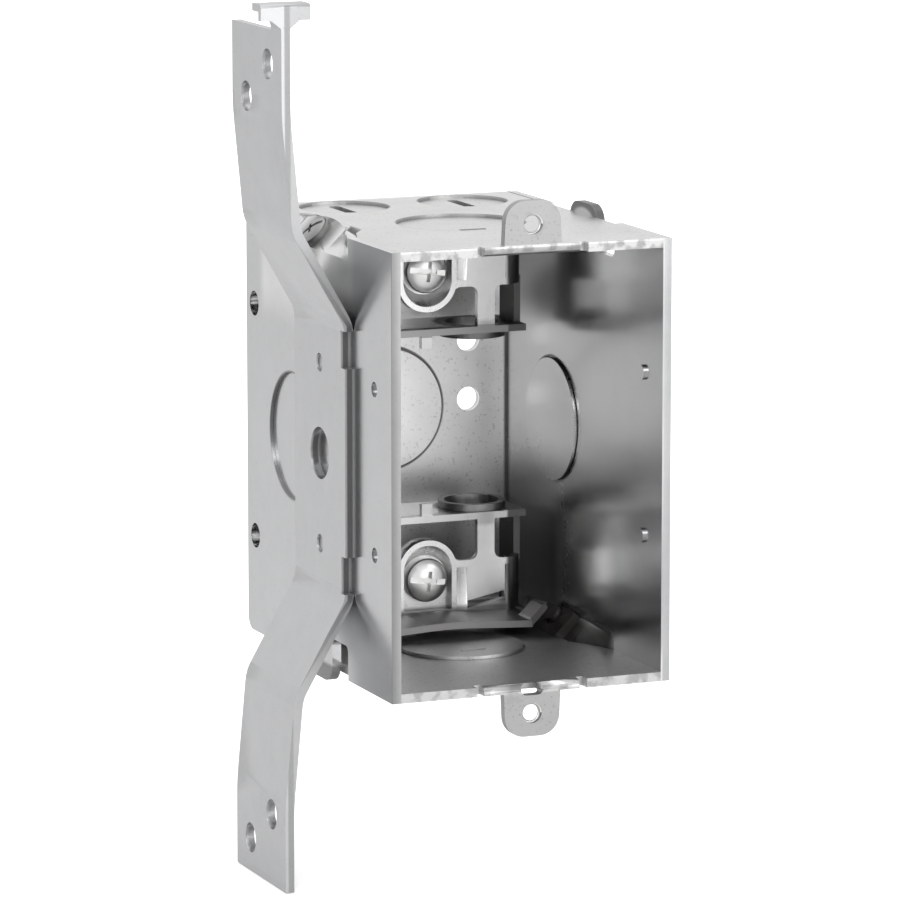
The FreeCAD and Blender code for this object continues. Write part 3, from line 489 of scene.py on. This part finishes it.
# Armoured-cable clamps, pressed from thinner bright-plated sheet. Shade is painted on their
# flanges, curls and tabs, round their bushing rings and screw cups, and on the sheared front
# of the hoods.
flange_level = (0.0319, 0.0331)
hood_skin = (0.0158, 0.0175)
hood_front = (0.0492, 0.0500)
tab_across = (0.003, 0.004)
tab_high = (0.0156, 0.0158)
curl_across = (0.0148, 0.0156)
collar_deep = 0.0543
collar_radius = 0.0054
collar_high = (0.0178, 0.0188)
cup_reach = 0.0100
clamp_screw_deep = 0.0490
clamp_screw_high = 0.0275
clamp_burnish = 0.00018


def clamp_painted_shade(place):
    """Painted shade on both clamps, darker on the front of the upper hood than of the lower."""
    across, deep, high = place.parts()
    flange = abs(high).between(*flange_level)
    front = 1 - deep.between(*hood_front)
    upper = band(high, *hood_skin, fade=0.0002) * front
    lower = band(-high, *hood_skin, fade=0.0002) * front
    tabs = (1 - abs(high).between(*tab_high)) * (1 - abs(across).between(*tab_across))
    bores = ring(abs(across) - cable_knockout_across, deep - collar_deep, collar_radius, wide=0.0022)
    collars = bores * (1 - abs(high).between(*collar_high))
    curls = abs(across).between(*curl_across)
    cup = ring(across, abs(high) - clamp_screw_high, 0, wide=cup_reach)
    return strongest((flange, 0.76), (upper, 0.65), (lower, 0.25), (tabs, 0.3), (curls, 0.88),
                     (cup, 0.16), (collars, 0.74))


clamp_steel = galvanised("clamp_zinc", (0.80, 0.80, 0.80), 0.24, 0.05, (1, 1, 0.5), 0.00001,
                         soil_and_shade=clamp_painted_shade)
dress("upper_cable_clamp", clamp_steel, clamp_burnish)
dress("lower_cable_clamp", clamp_steel, clamp_burnish)


# Four pan-head screws with a slot and a cross recess, bright zinc. The head is domed, the
# recess is cut out of it, and the thread is one ridge wound round the shank.
def start_tree(name, sizes):
    """A geometry tree, its inputs' identifiers, and its inputs as values. Beside the named
    sizes it takes a Place, a Turn and a Finish."""
    tree = bpy.data.node_groups.new(name, "GeometryNodeTree")
    tree.interface.new_socket("Geometry", in_out="OUTPUT", socket_type="NodeSocketGeometry")
    kinds = {**dict.fromkeys(sizes, "Float"), "Place": "Vector", "Turn": "Vector", "Finish": "Material"}
    keys = {}
    for label, kind in kinds.items():
        socket = tree.interface.new_socket(label, in_out="INPUT", socket_type=f"NodeSocket{kind}")
        keys[label] = socket.identifier
    entry = tree.nodes.new("NodeGroupInput")
    return tree, keys, {label: Value(tree, entry.outputs[label]) for label in kinds}


def end_tree(shape, given):
    """Turns the shape and puts it in its place, makes it real and gives it its finish."""
    placed = shape.node("GeometryNodeTransform", Geometry=shape, Translation=given["Place"],
                        Rotation=given["Turn"])
    real = placed.node("GeometryNodeRealizeInstances", Geometry=placed)
    done = real.node("GeometryNodeSetMaterial", Geometry=real, Material=given["Finish"])
    out = done.tree.nodes.new("NodeGroupOutput")
    done.tree.links.new(done.socket, out.inputs[0])


def raised(shape, level):
    """The shape, moved along Z."""
    shift = shape.node("ShaderNodeCombineXYZ", i2=level)
    return shape.node("GeometryNodeTransform", Geometry=shape, Translation=shift)


def screw_tree():
    """One screw: the seat of its head at Place, and its shank along the turned +Z."""
    tree, keys, given = start_tree("pan_screw", ("Shank Radius", "Head Radius", "Head Height",
                                                 "Length", "Pitch", "Recess Turn"))
    head, high, shank = given["Head Radius"], given["Head Height"], given["Shank Radius"]
    length, pitch, turn = given["Length"], given["Pitch"], given["Recess Turn"]

    # The barrel's lower end becomes the crown: its rim is drawn up, and its side leans in.
    rim_drawn = 0.42
    side_lean = 0.05
    barrel = head.node("GeometryNodeMeshCylinder", {"fill_type": "TRIANGLE_FAN"}, Vertices=56,
                       Side_Segments=6, Fill_Segments=7, Radius=head, Depth=high)
    spot = head.node("GeometryNodeInputPosition")
    across, along, level = spot.parts()
    share = (across * across + along * along).maths("SQRT") / head
    crown = level < 0.0
    lifted = level + share * share * share * (high * rim_drawn) * crown
    squeeze = 1 - crown * share * share * side_lean
    place = spot.node("ShaderNodeCombineXYZ", i0=across * squeeze, i1=along * squeeze,
                      i2=lifted - high * 0.5)
    domed = barrel.node("GeometryNodeSetPosition", Geometry=barrel, Position=place)

    def bar(long, wide, deep, turn):
        """A cutter across the crown: long and wide in head radii, and deep in head heights."""
        size = head.node("ShaderNodeCombineXYZ", i0=head * long, i1=head * wide, i2=high * deep * 2)
        block = size.node("GeometryNodeMeshCube", Size=size)
        shift = head.node("ShaderNodeCombineXYZ", i2=-high)
        spin = head.node("ShaderNodeCombineXYZ", i2=turn)
        return block.node("GeometryNodeTransform", Geometry=block, Translation=shift, Rotation=spin)

    # The slot, the two arms of the cross, and the square between them, no two of one depth, so
    # that no floors lie in one plane. Points that the cut leaves touching are merged.
    eighth_turn = 0.785
    cutters = [bar(long=2.4, wide=0.26, deep=0.3, turn=turn),
               bar(long=0.18, wide=0.9, deep=0.44, turn=turn),
               bar(long=0.9, wide=0.18, deep=0.42, turn=turn),
               bar(long=0.36, wide=0.36, deep=0.47, turn=turn + eighth_turn)]
    cut = domed.node("GeometryNodeMeshBoolean", {"operation": "DIFFERENCE"}, i0=domed)
    for cutter in cutters:
        tree.links.new(cutter.socket, cut.socket.node.inputs[1])
    carved = cut.node("GeometryNodeMergeByDistance", Geometry=cut, Distance=touching)

    # The thread's root, and its ridge, which is sunk into the root and begins below the head.
    root_share = 0.84
    ridge_share = 0.82
    ridge_size = 0.36
    ridge_from = 0.6
    core = shank.node("GeometryNodeMeshCylinder", {"fill_type": "TRIANGLE_FAN"}, Vertices=32,
                      Radius=shank * root_share, Depth=length)
    rise = length - pitch
    helix = head.node("GeometryNodeCurveSpiral", Resolution=28, Rotations=rise / pitch,
                      Start_Radius=shank * ridge_share, End_Radius=shank * ridge_share, Height=rise)
    ridge = head.node("GeometryNodeCurvePrimitiveCircle", Resolution=3, Radius=pitch * ridge_size)
    wound = helix.node("GeometryNodeCurveToMesh", Curve=helix, Profile_Curve=ridge, Fill_Caps=True)
    joined = carved.node("GeometryNodeJoinGeometry")
    for part in (carved, raised(core, length * 0.5), raised(wound, pitch * ridge_from)):
        tree.links.new(part.socket, joined.socket.node.inputs[0])
    end_tree(joined, given)
    return tree, keys


def made_by(tree, keys, name, sizes):
    """An object with the plain mesh that the tree makes of the sizes."""
    blank = bpy.data.objects.new(f"{name}_blank", bpy.data.meshes.new(f"{name}_blank"))
    bpy.context.collection.objects.link(blank)
    maker = blank.modifiers.new("maker", "NODES")
    maker.node_group = tree
    for label, size in sizes.items():
        maker[keys[label]] = size
    bpy.context.view_layer.update()
    mesh = bpy.data.meshes.new_from_object(blank.evaluated_get(bpy.context.evaluated_depsgraph_get()))
    bpy.data.objects.remove(blank)
    made = bpy.data.objects.new(name, mesh)
    bpy.context.collection.objects.link(made)
    return made


left_screw_seat = (-0.0235, 0.0400, 0.0362)
left_screw_crown = (-0.0245, 0.0400, 0.0372)
right_screw_seat = (0.0235, 0.0400, -0.0362)
screw_crease = math.radians(32)


def screw_painted_shade(place):
    """Painted shade on the two plate screws. The clamp screws get none."""
    hidden = patch(place, lower_seat_inside, core=0.005, reach=0.009)
    outside = patch(place, left_screw_crown, core=0.004, reach=0.006)
    return strongest((hidden, 0.95), (outside, 0.5))


screw_steel = galvanised("screw_zinc", (0.82, 0.82, 0.81), 0.36, 0.0, (1, 1, 1), 0.00001,
                         crevice_shade=0.12, soil_and_shade=screw_painted_shade)
pan_screw, screw_keys = screw_tree()
clamp_screw_sizes = {"Shank Radius": 0.00208, "Head Radius": 0.0039, "Head Height": 0.0026,
                     "Length": 0.0224, "Pitch": 0.00079, "Recess Turn": 0.12}
plate_screw_sizes = {"Shank Radius": 0.00175, "Head Radius": 0.0030, "Head Height": 0.0017,
                     "Length": 0.0040, "Pitch": 0.00064, "Recess Turn": 0.6}
quarter = math.pi / 2
inward = (-quarter, 0, 0)
screws = (
    ("upper_clamp_screw", "upper_screw", clamp_screw_sizes, (0, clamp_screw_deep, clamp_screw_high), inward),
    ("lower_clamp_screw", "lower_screw", clamp_screw_sizes, (0, clamp_screw_deep, -clamp_screw_high), inward),
    ("left_plate_screw", "box", plate_screw_sizes, left_screw_seat, (0, 3 * quarter / 2, 0)),
    ("right_plate_screw", "box", plate_screw_sizes, right_screw_seat, (0, -quarter / 2, 0)),
)
for node, body, sizes, place, turn in screws:
    screw = made_by(pan_screw, screw_keys, f"threaded_{node}",
                    {**sizes, "Place": place, "Turn": turn, "Finish": screw_steel})
    screw.data.set_sharp_from_angle(angle=screw_crease)
    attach(screw, body)
    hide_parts(node)

# Threads tapped in the two device ears: one ridge wound through each hole, as bright as the
# screws where the tap has cut through the zinc.
ear_hole_radius = 0.00175
ear_hole_high = 0.04167
ear_thick = 0.0016
tap_pitch = 0.00079
tap_inset = 0.00035
tap_ridge_size = 0.42


def tapped_tree():
    """One tapped thread: Turns of a ridge from Place, along the turned +Z."""
    tree, keys, given = start_tree("tapped_thread", ("Radius", "Pitch", "Turns"))
    radius, pitch, turns = given["Radius"], given["Pitch"], given["Turns"]
    helix = radius.node("GeometryNodeCurveSpiral", Resolution=36, Rotations=turns, Start_Radius=radius,
                        End_Radius=radius, Height=turns * pitch)
    ridge = radius.node("GeometryNodeCurvePrimitiveCircle", Resolution=4, Radius=pitch * tap_ridge_size)
    wound = helix.node("GeometryNodeCurveToMesh", Curve=helix, Profile_Curve=ridge, Fill_Caps=True)
    end_tree(wound, given)
    return tree, keys


tapped_thread, thread_keys = tapped_tree()
tap_turns = (ear_thick - 2 * tap_inset) / tap_pitch
for end, side in (("upper", 1), ("lower", -1)):
    thread = made_by(tapped_thread, thread_keys, f"{end}_ear_thread",
                     {"Radius": ear_hole_radius, "Pitch": tap_pitch, "Turns": tap_turns,
                      "Place": (0, tap_inset, side * ear_hole_high), "Turn": inward,
                      "Finish": screw_steel})
    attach(thread, "box")
